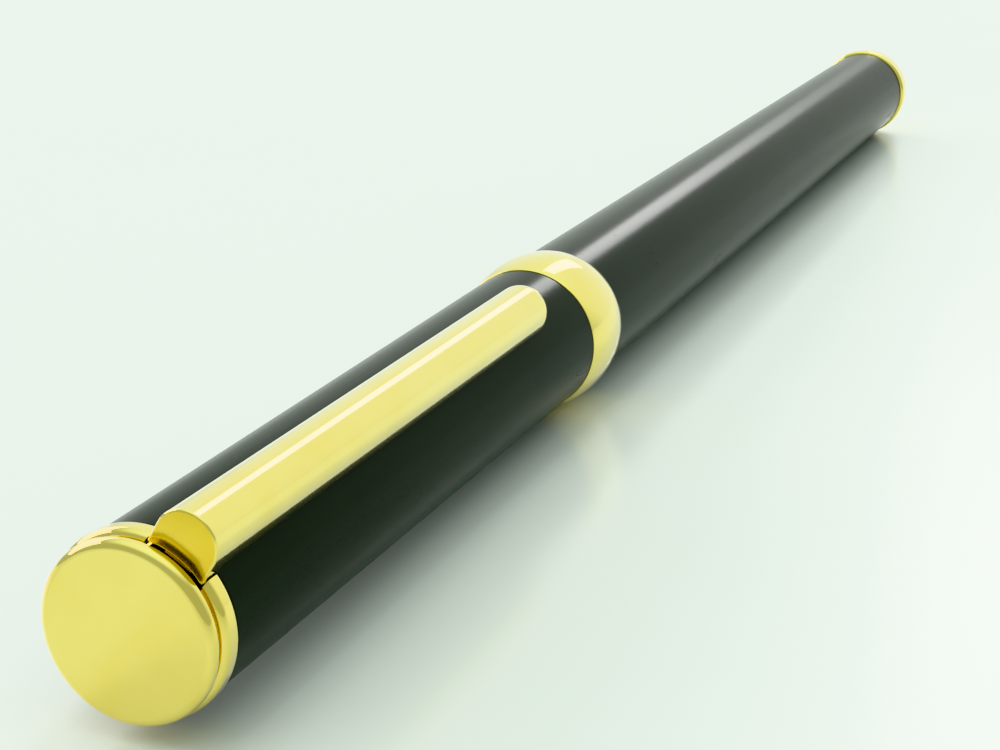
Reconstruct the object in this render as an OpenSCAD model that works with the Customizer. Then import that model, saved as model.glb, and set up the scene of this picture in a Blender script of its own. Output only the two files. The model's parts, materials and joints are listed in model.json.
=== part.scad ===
// Slim capped rollerball pen, lying along X.
// Origin: centre of the cap's flat top. +X runs to the tail, +Z is up as the pen lies.
// Every turned piece is drawn about X, with x counted from the cap's top.

/* [Cap] */
// Outside diameter of the lacquered cap tube
cap_d = 9.0; // [9:0.05:9.2]
// Wall of the cap tube
cap_wall = 0.45; // [0.4:0.05:0.45]
// Where the cap tube ends and the centre band begins
cap_end_x = 47; // [47:0.5:50]
// How far the crown flange stands proud of the cap tube
crown_proud = 0.16; // [0.1:0.02:0.3]
// Length of the centre band
band_len = 5; // [4:0.5:5.5]
// How far the centre band's crest stands proud of the cap tube
band_proud = 0.4; // [0.2:0.05:0.6]

/* [Clip] */
// Angle of the clip round the cap, from straight up towards -Y
clip_roll = 32; // [0:1:60]
// Width of the clip bar
clip_w = 3.2; // [3:0.1:3.6]
// Height of the clip's back over the pen's axis, at the cap's top
clip_top = 6.98; // [6.8:0.02:7.2]
// Fall of the clip's back towards its tip
clip_fall = 0.4; // [0.2:0.05:0.5]
// Where the clip's round tip ends
clip_end_x = 41; // [36:0.5:42]
// Width of the clip's root, inside the crown's slot
root_w = 1.5; // [1.3:0.1:1.6]

/* [Barrel] */
// Outside diameter of the barrel at the band
barrel_d = 8.86; // [8.7:0.02:8.96]
// Outside diameter of the barrel at the tail
tail_d = 7.66; // [7.6:0.02:8.2]
// Where the black barrel ends
barrel_end_x = 135; // [135:0.5:138]
// Length of the gold tail
tail_len = 2; // [1.8:0.1:2.4]
// How far the tail ring stands proud of the barrel
tail_proud = 0.22; // [0.15:0.01:0.3]

/* [Section] */
// Outside diameter of the grip at its slim front end
grip_front_d = 6.2; // [6.2:0.1:6.6]
// Outside diameter of the grip at its rear end
grip_rear_d = 7.0; // [6.9:0.05:7.0]
// Length of the thread that holds the section in the barrel
thread_len = 6; // [5:0.5:7]

/* [Refill] */
// Outside diameter of the refill tube
refill_d = 5.6; // [5.4:0.1:5.6]
// Where the refill's ball point lies, inside the cap
point_x = 10.5; // [10.4:0.05:10.7]
// Length of the whole refill
refill_len = 110; // [109:0.5:111]
// Diameter of the writing ball
ball_d = 0.7; // [0.6:0.1:0.8]

/* [Hidden] */

GOLD = [0.89, 0.82, 0.42];
BLACK = [0.10, 0.13, 0.10];
STEEL = [0.75, 0.76, 0.78];
BRASS = [0.80, 0.65, 0.32];
NATURAL = [0.90, 0.90, 0.86];
RUBBER = [0.20, 0.20, 0.20];
INK = [0.12, 0.16, 0.45];

fine = 96;             // sides of a large turned surface
small = 48;            // sides of a small one
run = 0.03;            // radial running clearance of a shaft in its hole
slip = 0.05;           // clearance of pieces that slide or lift out
eps = 0.01;            // overlap used to join solids and to cut cleanly

cap_r = cap_d / 2;
cap_in_r = cap_r - cap_wall;
barrel_r = barrel_d / 2;
tail_r = tail_d / 2;

// Cap top: disc, groove, then the flange of the crown
disc_len = 0.6;
disc_edge = 0.3;
edge_cut = 0.09;
groove_end_x = 0.95;
groove_r = cap_r - 0.35;
flange_end_x = 2.26;
flange_r = cap_r + crown_proud;
flange_edge = 0.35;
crown_end_x = 7.5;
stem_r = 1.5;
stem_end_x = 2.6;

// Clip: hinge pin, slot for its root, and its small coil spring
pin_x = 4.0;
pin_h = 3.05;
pin_r = 0.5;
pin_half = 1.9;
slot_start_x = 1.3;
slot_end_x = 5.1;
slot_floor = 1.75;
leg_start_x = 1.46;
leg_end_x = flange_end_x - 0.06;
leg_floor = 2.85;
leg_top = 5.2;
arm_top = 3.7;
eye_r = 0.85;
clip_start_x = 0.75;
clip_half = clip_w / 2;
clip_floor = cap_r + 0.16;
clip_front_r = cap_r - 0.09;
clip_lean = atan(clip_fall / (clip_end_x - clip_start_x));
notch_floor = 3.8;
pad_r = 1.0;
pad_floor = cap_r + 0.03;
spring_x = (leg_start_x + leg_end_x) / 2;
clip_coil_r = 0.27;
clip_wire_r = 0.08;
clip_turns = 4;

// Band: its collar is inside the cap tube, its mouth slides over the section
band_end_x = cap_end_x + band_len;
band_r = cap_r + band_proud;
band_edge_r = cap_r + 0.05;
band_collar_len = 3;
band_in_r = 3.68;

// Liner of the cap, with its clutch ring, and the seal at its closed end
liner_floor_x = 9;
liner_end_x = cap_end_x - band_collar_len;
liner_in_r = 3.62;
clutch_x = liner_end_x - 1.6;
clutch_len = 1.0;
clutch_out_r = 3.84;
clutch_in_r = 3.56;
clutch_split = 1.2;
washer_len = 0.2;
head_r = 1.45;
head_len = 0.5;
shank_r = 0.8;
screw_end_x = 5.6;
seal_r = 2.6;
seal_len = 2.2;
seal_web = 0.5;

// Section: nose, grip, threaded sleeve, and the collar that meets the barrel
collar_len = 0.8;
grip_end_x = band_end_x - collar_len;
grip_x = 22;
grip_full_x = 38;
nose_x = 12;
nose_r = 1.9;
nose_bore_r = 1.25;
nose_step_x = 15.5;
spigot_r = 2.35;
seat_x = 26;
collar_r = 3.6;
o_ring_x = liner_end_x + 0.8;
o_ring_r = 0.2;
o_ring_mid_r = 3.38;
section_in_r = refill_d / 2 + slip;
sleeve_r = 3.3;
sleeve_seat_r = 3.2;
sleeve_x = grip_end_x - 4;
sleeve_end_x = band_end_x + thread_len;

// Barrel: bush for the section's thread, tapered bore, tail
bush_r = 3.95;
bush_end_x = sleeve_end_x + 1.5;
bore_front_r = 3.8;
bore_tail_r = tail_r - 0.45;
plug_len = 0.9;
plug_r = tail_r + 0.1;
plug_stem_r = 1.6;
tail_end_x = barrel_end_x + tail_len;
tail_ring_end_x = tail_end_x - plug_len;
tail_ring_r = tail_r + tail_proud;
plug_stem_x = barrel_end_x - 3;
spring_seat_x = barrel_end_x - 8;
spigot_len = 2;
seat_spigot_r = 1.7;

// Refill
refill_r = refill_d / 2;
refill_end_x = point_x + refill_len;
refill_wall = 0.25;
shoulder_len = 0.5;
cone_x = nose_step_x + 0.1;
cone_r = 1.75;
cone_edge_r = 1.4;
tip_r = 1.15;
tip_end_x = cone_x + 1.4;
tip_face_x = point_x + 0.12;
tip_face_r = 0.42;
tip_taper_x = 11.7;
ball_r = ball_d / 2;
ball_x = point_x + ball_r;
ball_gap = 0.015;
feed_r = 0.25;
feed_x = ball_x + 0.4;
feed_end_x = 34;
tube_x = seat_x + shoulder_len;
fibre_x = tube_x + 2.5;
plug_x = refill_end_x - 4;
vent_r = 0.3;

// Refill spring, between the refill's end and its seat in the tail
coil_r = 2.25;
coil_wire_r = 0.22;
coil_turns = 6;
coil_len = spring_seat_x - refill_end_x;

// ---- helpers ----

// Turns a drawing about Z so that its z runs along X
module along_x() {
    rotate([0, 90, 0]) children();
}

// A turned piece: each point is [radius, x]
module turned(points, sides = fine) {
    along_x() rotate_extrude($fn = sides) polygon(points);
}

// A plain rod from x = a to x = b, or a tube where inner is given
module rod(a, b, outer, inner = 0, sides = fine) {
    translate([a, 0, 0]) along_x() difference() {
        cylinder(r = outer, h = b - a, $fn = sides);
        if (inner > 0)
            translate([0, 0, -1]) cylinder(r = inner, h = b - a + 2, $fn = sides);
    }
}

// Turns a drawing whose +Z points out through the clip to the clip's place
module clip_side() {
    rotate([clip_roll, 0, 0]) children();
}

// A cross hole or cross pin at the clip's hinge
module hinge_rod(r, len) {
    translate([pin_x, 0, pin_h]) rotate([90, 0, 0])
        cylinder(r = r, h = len, center = true, $fn = small);
}

// A coil of round wire along Z, from z = 0 to z = len over the wire's outside
module coil(r, wire, len, turns) {
    per_turn = 16;
    sides = 6;
    steps = turns * per_turn;
    rise = len - 2 * wire;
    points = [for (i = [0:steps], k = [0:sides - 1])
        let (t = 360 * i / per_turn, a = 360 * k / sides, q = r + wire * cos(a))
            [q * cos(t), q * sin(t), wire + rise * i / steps + wire * sin(a)]];
    last = steps * sides;
    walls = [for (i = [0:steps - 1], k = [0:sides - 1])
        let (a = i * sides + k, b = i * sides + (k + 1) % sides)
            [a, b, b + sides, a + sides]];
    ends = [[for (k = [sides - 1:-1:0]) k], [for (k = [0:sides - 1]) last + k]];
    polyhedron(points, concat(walls, ends));
}

// ---- cap ----

module cap_top_disc() {
    color(GOLD) union() {
        turned([[0, 0], [cap_r - disc_edge, 0], [cap_r - edge_cut, edge_cut],
                [cap_r, disc_edge], [cap_r, disc_len], [0, disc_len]]);
        rod(disc_len - eps, stem_end_x, stem_r, 0, small);
    }
}

module crown_ring() {
    color(GOLD) difference() {
        union() {
            rod(disc_len, crown_end_x, cap_in_r);
            rod(disc_len, groove_end_x + flange_edge, groove_r);
            turned([[0, groove_end_x], [flange_r - flange_edge, groove_end_x],
                    [flange_r - edge_cut, groove_end_x + edge_cut],
                    [flange_r, groove_end_x + flange_edge],
                    [flange_r, flange_end_x - flange_edge],
                    [flange_r - edge_cut, flange_end_x - edge_cut],
                    [flange_r - flange_edge, flange_end_x], [0, flange_end_x]]);
        }
        rod(disc_len - 1, stem_end_x, stem_r, 0, small);
        rod(stem_end_x - 1, crown_end_x + 1, shank_r, 0, small);
        clip_side() {
            // slot for the clip's root
            translate([slot_start_x, -root_w / 2 - slip, slot_floor])
                cube([slot_end_x - slot_start_x, root_w + 2 * slip, 4]);
            // notch that the bar's front sits in, with room to dip as the clip opens
            translate([0, -clip_half - slip, notch_floor])
                cube([flange_end_x, clip_w + 2 * slip, 2]);
            hinge_rod(pin_r, 2 * cap_r);
        }
    }
}

module clip() {
    bar_len = clip_end_x - clip_half - clip_start_x;
    below = 3;
    color(GOLD) clip_side() difference() {
        union() {
            // bar: round back on straight sides, falling towards a round tip
            intersection() {
                translate([clip_start_x, 0, clip_top - clip_half])
                    rotate([0, clip_lean, 0]) {
                        translate([-1, 0, 0]) along_x()
                            cylinder(r = clip_half, h = bar_len + 1, $fn = fine);
                        translate([-1, -clip_half, -below])
                            cube([bar_len + 1, clip_w, below]);
                        translate([bar_len, 0, 0]) sphere(r = clip_half, $fn = fine);
                        translate([bar_len, 0, -below])
                            cylinder(r = clip_half, h = below, $fn = fine);
                    }
                union() {
                    // flat underside along the tube, deeper in the crown's notch
                    translate([clip_start_x, -cap_r, clip_floor])
                        cube([clip_end_x, cap_d, cap_r]);
                    translate([clip_start_x, -cap_r, notch_floor])
                        cube([leg_end_x - clip_start_x, cap_d, cap_r]);
                }
            }
            // root: a leg down into the slot, an arm and the hinge's eye
            translate([leg_start_x, -root_w / 2, leg_floor])
                cube([leg_end_x - leg_start_x, root_w, leg_top - leg_floor]);
            translate([leg_start_x, -root_w / 2, leg_floor])
                cube([pin_x - leg_start_x, root_w, arm_top - leg_floor]);
            hinge_rod(eye_r, root_w);
            // pad under the tip, which presses cloth against the cap
            translate([clip_end_x - clip_half, 0, pad_floor])
                cylinder(r = pad_r, h = clip_floor - pad_floor + eps, $fn = small);
        }
        // the front's underside is hollowed round the pen's axis, beside the root
        for (side = [-1, 1])
            intersection() {
                rod(0, leg_end_x + eps, clip_front_r);
                translate([0, side > 0 ? root_w / 2 : -root_w / 2 - cap_r, 0])
                    cube([leg_end_x + eps, cap_r, cap_r]);
            }
        // and in front of the root
        rod(0, leg_start_x, clip_front_r);
        hinge_rod(pin_r + run, root_w + 1);
    }
}

module clip_pin() {
    color(STEEL) clip_side() hinge_rod(pin_r, 2 * pin_half);
}

module clip_spring() {
    color(STEEL) clip_side() translate([spring_x, 0, slot_floor])
        coil(clip_coil_r, clip_wire_r, leg_floor - slot_floor, clip_turns);
}

module cap_tube() {
    color(BLACK) rod(flange_end_x, cap_end_x, cap_r, cap_in_r);
}

module centre_band() {
    half = band_len / 2;
    crown = band_r - band_edge_r;
    bow_r = (half * half + crown * crown) / (2 * crown);
    color(GOLD) union() {
        along_x() rotate_extrude($fn = fine) intersection() {
            translate([band_in_r, cap_end_x]) square([band_r, band_len]);
            translate([band_r - bow_r, cap_end_x + half]) circle(r = bow_r, $fn = fine);
        }
        rod(liner_end_x, cap_end_x + eps, cap_in_r, band_in_r);
    }
}

module cap_liner() {
    color(NATURAL) difference() {
        rod(crown_end_x, liner_end_x, cap_in_r);
        rod(liner_floor_x, liner_end_x + 1, liner_in_r);
        rod(crown_end_x - 1, liner_floor_x + 1, shank_r, 0, small);
        rod(clutch_x - slip, clutch_x + clutch_len + slip, clutch_out_r + run);
    }
}

module cap_clutch() {
    color(STEEL) difference() {
        rod(clutch_x, clutch_x + clutch_len, clutch_out_r, clutch_in_r);
        translate([clutch_x - 1, -clutch_split / 2, 0])
            cube([clutch_len + 2, clutch_split, cap_r]);
    }
}

module cap_screw() {
    head_x = liner_floor_x + washer_len;
    slot_w = 0.4;
    slot_depth = 0.25;
    color(STEEL) difference() {
        union() {
            rod(screw_end_x, head_x + eps, shank_r, 0, small);
            rod(head_x, head_x + head_len, head_r, 0, small);
        }
        translate([head_x + head_len - slot_depth, -slot_w / 2, -head_r - 1])
            cube([1, slot_w, 2 * head_r + 2]);
    }
}

module cap_washer() {
    color(STEEL) rod(liner_floor_x, liner_floor_x + washer_len, head_r, shank_r, small);
}

module cap_seal() {
    web_x = liner_floor_x + washer_len + head_len + slip;
    color(RUBBER) difference() {
        rod(liner_floor_x, liner_floor_x + seal_len, seal_r, 0, small);
        rod(liner_floor_x - 1, web_x, head_r + slip, 0, small);
        rod(web_x + seal_web, liner_floor_x + seal_len + 1, head_r, 0, small);
    }
}

// ---- barrel ----

module barrel_tube() {
    color(BLACK) turned([[bush_r, band_end_x], [barrel_r, band_end_x],
                         [tail_r, barrel_end_x], [bore_tail_r, barrel_end_x],
                         [bore_front_r, bush_end_x], [bush_r, bush_end_x]]);
}

module barrel_bush() {
    color(BRASS) rod(band_end_x, bush_end_x, bush_r, sleeve_r + run);
}

module tail_ring() {
    edge = 0.25;
    color(GOLD) turned([[plug_stem_r, barrel_end_x], [tail_ring_r - edge, barrel_end_x],
                        [tail_ring_r, barrel_end_x + edge],
                        [tail_ring_r, tail_ring_end_x - edge],
                        [tail_ring_r - edge, tail_ring_end_x],
                        [plug_stem_r, tail_ring_end_x]]);
}

module tail_plug() {
    color(GOLD) union() {
        turned([[0, tail_ring_end_x], [plug_r, tail_ring_end_x],
                [plug_r, tail_end_x - disc_edge],
                [plug_r - edge_cut, tail_end_x - edge_cut],
                [plug_r - disc_edge, tail_end_x], [0, tail_end_x]]);
        rod(plug_stem_x, tail_ring_end_x + eps, plug_stem_r, 0, small);
    }
}

module spring_seat() {
    color(NATURAL) difference() {
        union() {
            rod(spring_seat_x, barrel_end_x, bore_tail_r);
            rod(spring_seat_x - spigot_len, spring_seat_x + eps, seat_spigot_r);
        }
        rod(plug_stem_x, barrel_end_x + 1, plug_stem_r, 0, small);
    }
}

module refill_spring() {
    color(STEEL) translate([refill_end_x, 0, 0]) along_x()
        coil(coil_r, coil_wire_r, coil_len, coil_turns);
}

// ---- section ----

module section_collar() {
    color(GOLD) rod(grip_end_x, band_end_x, collar_r, sleeve_r + run);
}

module section_grip() {
    half = o_ring_r + run;
    color(BLACK) difference() {
        turned([[spigot_r, grip_x], [grip_front_d / 2, grip_x],
                [grip_rear_d / 2, grip_full_x], [grip_rear_d / 2, grip_end_x],
                [sleeve_seat_r, grip_end_x], [sleeve_seat_r, sleeve_x],
                [section_in_r, sleeve_x], [section_in_r, seat_x], [spigot_r, seat_x]]);
        rod(o_ring_x - half, o_ring_x + half, cap_r, o_ring_mid_r - o_ring_r);
    }
}

module section_sleeve() {
    color(BRASS) turned([[section_in_r, sleeve_x], [sleeve_seat_r, sleeve_x],
                         [sleeve_seat_r, grip_end_x], [sleeve_r, grip_end_x],
                         [sleeve_r, sleeve_end_x], [section_in_r, sleeve_end_x]]);
}

module section_nose() {
    color(GOLD) turned([[nose_bore_r, nose_x], [nose_r - edge_cut, nose_x],
                        [nose_r, nose_x + edge_cut], [grip_front_d / 2, grip_x],
                        [spigot_r, grip_x], [spigot_r, seat_x - slip],
                        [cone_r + slip, seat_x - slip], [cone_r + slip, nose_step_x],
                        [nose_bore_r, nose_step_x]]);
}

module section_o_ring() {
    color(RUBBER) translate([o_ring_x, 0, 0]) along_x() rotate_extrude($fn = fine)
        translate([o_ring_mid_r, 0]) circle(r = o_ring_r, $fn = small);
}

// ---- refill ----

module refill_tube() {
    color(STEEL) rod(tube_x, refill_end_x, refill_r, refill_r - refill_wall);
}

module refill_cone() {
    bevel = 0.4;
    color(NATURAL) difference() {
        turned([[0, cone_x], [cone_edge_r, cone_x], [cone_r, cone_x + bevel],
                [cone_r, seat_x], [refill_r, seat_x], [refill_r, tube_x],
                [refill_r - refill_wall, tube_x], [refill_r - refill_wall, fibre_x],
                [0, fibre_x]]);
        rod(cone_x - 1, tip_end_x, tip_r, 0, small);
        rod(tip_end_x - 1, fibre_x + 1, feed_r, 0, small);
    }
}

module refill_tip() {
    color(BRASS) difference() {
        turned([[0, tip_face_x], [tip_face_r, tip_face_x], [tip_r, tip_taper_x],
                [tip_r, tip_end_x], [0, tip_end_x]], small);
        translate([ball_x, 0, 0]) sphere(r = ball_r + ball_gap, $fn = small);
        rod(ball_x, tip_end_x + 1, feed_r, 0, small);
    }
}

module refill_ball() {
    color(STEEL) translate([ball_x, 0, 0]) sphere(r = ball_r, $fn = small);
}

module refill_feed() {
    color(INK) rod(feed_x, feed_end_x, feed_r, 0, small);
}

module refill_fibre() {
    color(INK) difference() {
        rod(fibre_x, plug_x, refill_r - refill_wall);
        rod(fibre_x - 1, feed_end_x, feed_r, 0, small);
    }
}

module refill_plug() {
    color(NATURAL) rod(plug_x, refill_end_x, refill_r - refill_wall, vent_r, small);
}

cap_top_disc();
crown_ring();
clip();
clip_pin();
clip_spring();
cap_tube();
centre_band();
cap_liner();
cap_clutch();
cap_screw();
cap_washer();
cap_seal();
barrel_tube();
barrel_bush();
tail_ring();
tail_plug();
spring_seat();
refill_spring();
section_collar();
section_grip();
section_sleeve();
section_nose();
section_o_ring();
refill_tube();
refill_cone();
refill_tip();
refill_ball();
refill_feed();
refill_fibre();
refill_plug();
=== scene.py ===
# %% [markdown]
# # A slim capped rollerball pen
# The pen is already designed as thirty separate solids with real joints: cap, clip, barrel,
# writing section and refill. This script opens that design as a fixed frame and gives every
# piece its looks. Each piece of metal, lacquer, plastic and rubber is built again as a fine
# mesh with rounded edges, threads and coils, in the same place and at the same size, and each
# rides on the moving body that it belongs to, so the pen still opens, unscrews and clips.

# %% Open the pen's frame
import json
import math

import bmesh
import bpy
from mathutils import Matrix, Vector


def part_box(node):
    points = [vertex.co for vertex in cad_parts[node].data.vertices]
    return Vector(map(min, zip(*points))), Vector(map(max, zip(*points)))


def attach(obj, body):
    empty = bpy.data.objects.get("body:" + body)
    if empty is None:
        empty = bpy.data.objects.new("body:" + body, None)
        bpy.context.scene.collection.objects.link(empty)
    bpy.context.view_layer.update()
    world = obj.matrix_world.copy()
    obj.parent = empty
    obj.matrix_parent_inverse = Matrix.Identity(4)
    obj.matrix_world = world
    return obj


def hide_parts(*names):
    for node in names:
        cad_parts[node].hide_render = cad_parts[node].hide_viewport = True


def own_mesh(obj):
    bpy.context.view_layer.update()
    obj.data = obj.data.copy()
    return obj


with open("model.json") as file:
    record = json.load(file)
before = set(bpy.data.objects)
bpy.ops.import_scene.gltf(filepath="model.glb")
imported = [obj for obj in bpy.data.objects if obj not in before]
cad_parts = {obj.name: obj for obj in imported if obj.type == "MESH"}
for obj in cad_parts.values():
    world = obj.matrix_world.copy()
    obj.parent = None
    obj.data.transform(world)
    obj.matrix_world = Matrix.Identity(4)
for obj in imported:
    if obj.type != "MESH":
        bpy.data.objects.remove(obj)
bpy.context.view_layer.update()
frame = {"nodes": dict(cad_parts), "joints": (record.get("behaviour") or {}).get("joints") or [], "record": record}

# %% [markdown]
# ## Reading sizes from the frame
# A turned piece is described by where it starts and ends along the pen and by its radius.
# Typing those numbers again would let the looks drift away from the design, so they are read
# from each node's box. Millimetres are easier to think in for a pen, and the meshes are
# turned into metres only when they are made.

# %% Sizes of a node, in millimetres
MM = 0.001
record = frame["record"]
body_of = {node: body for body, nodes in record["behaviour"]["bodies"].items() for node in nodes}
joint_of = {joint["name"]: joint for joint in frame["joints"]}


def span(node):
    """Start and end of a turned node along the pen, and its outer radius."""
    low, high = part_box(node)
    return low.x / MM, high.x / MM, high.y / MM


cap_start, cap_end, cap_r = span("cap_tube")
band_start, band_end, band_r = span("centre_band")
print(f"Cap tube: {cap_start:.2f} to {cap_end:.2f} mm, radius {cap_r:.2f} mm")

# %% [markdown]
# ## Rounded outlines
# Nearly every piece of a pen is turned on a lathe, so it is an outline spun about one axis.
# A lathe never leaves a perfectly sharp corner, and it is the small radius at each edge that
# catches the light and makes metal look real. An outline here is a short list of corners,
# each with its own fillet radius, and this helper replaces each corner with an arc. It also
# adds a point just beside each arc, which keeps the flat stretches flat when they are shaded.

# %% Corners into arcs
ARC_STEPS = 6
HOLD = 0.02


def arc_at(corner, before, after, fillet):
    """The points of the arc that rounds one corner of an outline."""
    to_before = (before - corner).normalized()
    to_after = (after - corner).normalized()
    half = to_before.angle(to_after) / 2
    start = corner + to_before * fillet / math.tan(half)
    end = corner + to_after * fillet / math.tan(half)
    centre = corner + (to_before + to_after).normalized() * fillet / math.sin(half)
    first = math.atan2(start.y - centre.y, start.x - centre.x)
    last = math.atan2(end.y - centre.y, end.x - centre.x)
    turn = (last - first + math.pi) % (2 * math.pi) - math.pi
    angles = [first + turn * k / ARC_STEPS for k in range(ARC_STEPS + 1)]
    return [centre + fillet * Vector((math.cos(a), math.sin(a))) for a in angles]


def rounded(corners, closed=True):
    """An outline's points, from corners given as (x, radius, fillet)."""
    places = [Vector(corner[:2]) for corner in corners]
    runs = []
    for i, corner in enumerate(corners):
        inside = closed or 0 < i < len(corners) - 1
        if inside and corner[2] > 0:
            after = places[(i + 1) % len(corners)]
            runs.append(arc_at(places[i], places[i - 1], after, corner[2]))
        else:
            runs.append([places[i]])
    points = []
    for i, run in enumerate(runs):
        points += run
        following = runs[(i + 1) % len(runs)][0]
        step = following - run[-1]
        if step.length > 6 * HOLD and (closed or i < len(runs) - 1):
            points.append(run[-1] + step.normalized() * HOLD)
            points.append(following - step.normalized() * HOLD)
    return points


square = rounded([(0, 0, 0), (0, 1, 0.1), (1, 1, 0)], False)
print("A square corner with a fillet becomes", len(square), "points")

# %% [markdown]
# ## From outline to mesh
# A Screw modifier could spin an outline, but then its seam and its poles need cleaning
# afterwards. Writing the rings with bmesh gives closed quads at once, and it lets a function
# change the radius round the ring, which is how the screw threads below are cut. One loft
# serves for everything: a spun outline, a coil of wire and the clip's bar are all rings of
# points joined by faces.

# %% Loft and spin
SIDES = 144
SHARP = math.radians(38)


def shade(mesh):
    """Smooth shading that stays crisp along the piece's own hard edges."""
    bm = bmesh.new()
    bm.from_mesh(mesh)
    bmesh.ops.recalc_face_normals(bm, faces=bm.faces)
    for face in bm.faces:
        face.smooth = True
    for edge in bm.edges:
        edge.smooth = len(edge.link_faces) == 2 and edge.calc_face_angle(0) < SHARP
    bm.to_mesh(mesh)
    bm.free()
    return mesh


def new_piece(name, bm):
    """A finished object from a bmesh that is in millimetres."""
    bmesh.ops.scale(bm, vec=(MM, MM, MM), verts=bm.verts)
    mesh = bpy.data.meshes.new(name)
    bm.to_mesh(mesh)
    bm.free()
    piece = bpy.data.objects.new(name, shade(mesh))
    bpy.context.scene.collection.objects.link(piece)
    return piece


def loft(name, rings, ring_of_rings=False, ends="open"):
    """Joins rings of points. A ring with one point is a pole. ends: open, or filled."""
    bm = bmesh.new()
    made = [[bm.verts.new(point) for point in ring] for ring in rings]
    pairs = list(zip(made, made[1:])) + ([(made[-1], made[0])] if ring_of_rings else [])
    for one, two in pairs:
        for i in range(max(len(one), len(two))):
            j = (i + 1) % max(len(one), len(two))
            corners = [one[i % len(one)], one[j % len(one)], two[j % len(two)], two[i % len(two)]]
            corners = list(dict.fromkeys(corners))
            if len(corners) > 2:
                bm.faces.new(corners)
    if ends == "filled":
        bm.faces.new(made[0])
        bm.faces.new(list(reversed(made[-1])))
    return new_piece(name, bm)


def spun(name, corners, sides=SIDES, relief=None):
    """A turned piece. It is solid where its outline starts and ends on the axis."""
    closed = corners[0][1] > 0 or corners[-1][1] > 0
    rings = []
    for point in rounded(corners, closed):
        ring = []
        for k in range(sides if point.y > 0 else 1):
            a = 2 * math.pi * k / sides
            r = relief(point.x, point.y, a) if relief else point.y
            ring.append((point.x, r * math.cos(a), r * math.sin(a)))
        rings.append(ring)
    return loft(name, rings, ring_of_rings=closed)


# %% [markdown]
# ## Fitting a piece to the pen
# Each piece stands for one node of the design. It rides on that node's body, hides the plain
# solid, and names the material slot that its finish belongs to.

# %% Fit and cut
def fit(piece, node, finish):
    """The piece takes a node's place on the pen."""
    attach(piece, body_of[node])
    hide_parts(node)
    piece.data.materials.clear()
    piece.data.materials.append(finish)
    print(f"{piece.name}: {len(piece.data.polygons)} faces, rides on {body_of[node]}")
    return piece


def carve(piece, other, operation="DIFFERENCE"):
    """Cuts one solid out of another, or joins it on, and keeps only the result."""
    step = piece.modifiers.new("carve", "BOOLEAN")
    step.object = other
    step.operation = operation
    step.solver = "EXACT"
    bpy.context.view_layer.update()
    solid = piece.evaluated_get(bpy.context.evaluated_depsgraph_get())
    mesh = bpy.data.meshes.new_from_object(solid)
    piece.modifiers.clear()
    piece.data = shade(mesh)
    bpy.data.objects.remove(other)
    return piece


def block(low, high, place=Matrix.Identity(4)):
    """A cutting block between two corners, in millimetres, in its own place."""
    bm = bmesh.new()
    bmesh.ops.create_cube(bm, size=1)
    size = Vector(high) - Vector(low)
    middle = (Vector(high) + Vector(low)) / 2
    bmesh.ops.transform(bm, matrix=place @ Matrix.Translation(middle) @ Matrix.Diagonal((*size, 1)),
                        verts=bm.verts)
    return new_piece("cutter", bm)


# %% [markdown]
# ## Shader maths as plain expressions
# A finish is a small network of nodes, and networks are hard to read as code. This class
# wraps one socket, so that `0.05 + scratches * 0.1` adds the Math nodes by itself. Every
# other node comes from one method that takes the node's type, its settings and its inputs.

# %% A socket that can be added and multiplied
class Amount:
    """A number that changes over a surface."""

    def __init__(self, finish, socket):
        self.finish = finish
        self.socket = socket

    def maths(self, operation, *others):
        return self.finish.node("ShaderNodeMath", {"operation": operation},
                                dict(enumerate((self, *others))))["Value"]

    def __add__(self, other):
        return self.maths("ADD", other)

    def __sub__(self, other):
        return self.maths("SUBTRACT", other)

    def __rsub__(self, other):
        return self * -1 + other

    def __mul__(self, other):
        return self.maths("MULTIPLY", other)

    def __gt__(self, other):
        return self.maths("GREATER_THAN", other)

    __radd__ = __add__
    __rmul__ = __mul__

    def smooth(self, low, high):
        """0 below low, 1 above high, and an even slope between."""
        return self.finish.node("ShaderNodeMapRange", {"interpolation_type": "SMOOTHSTEP"},
                                {"Value": self, "From Min": low, "From Max": high})["Result"]


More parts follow.
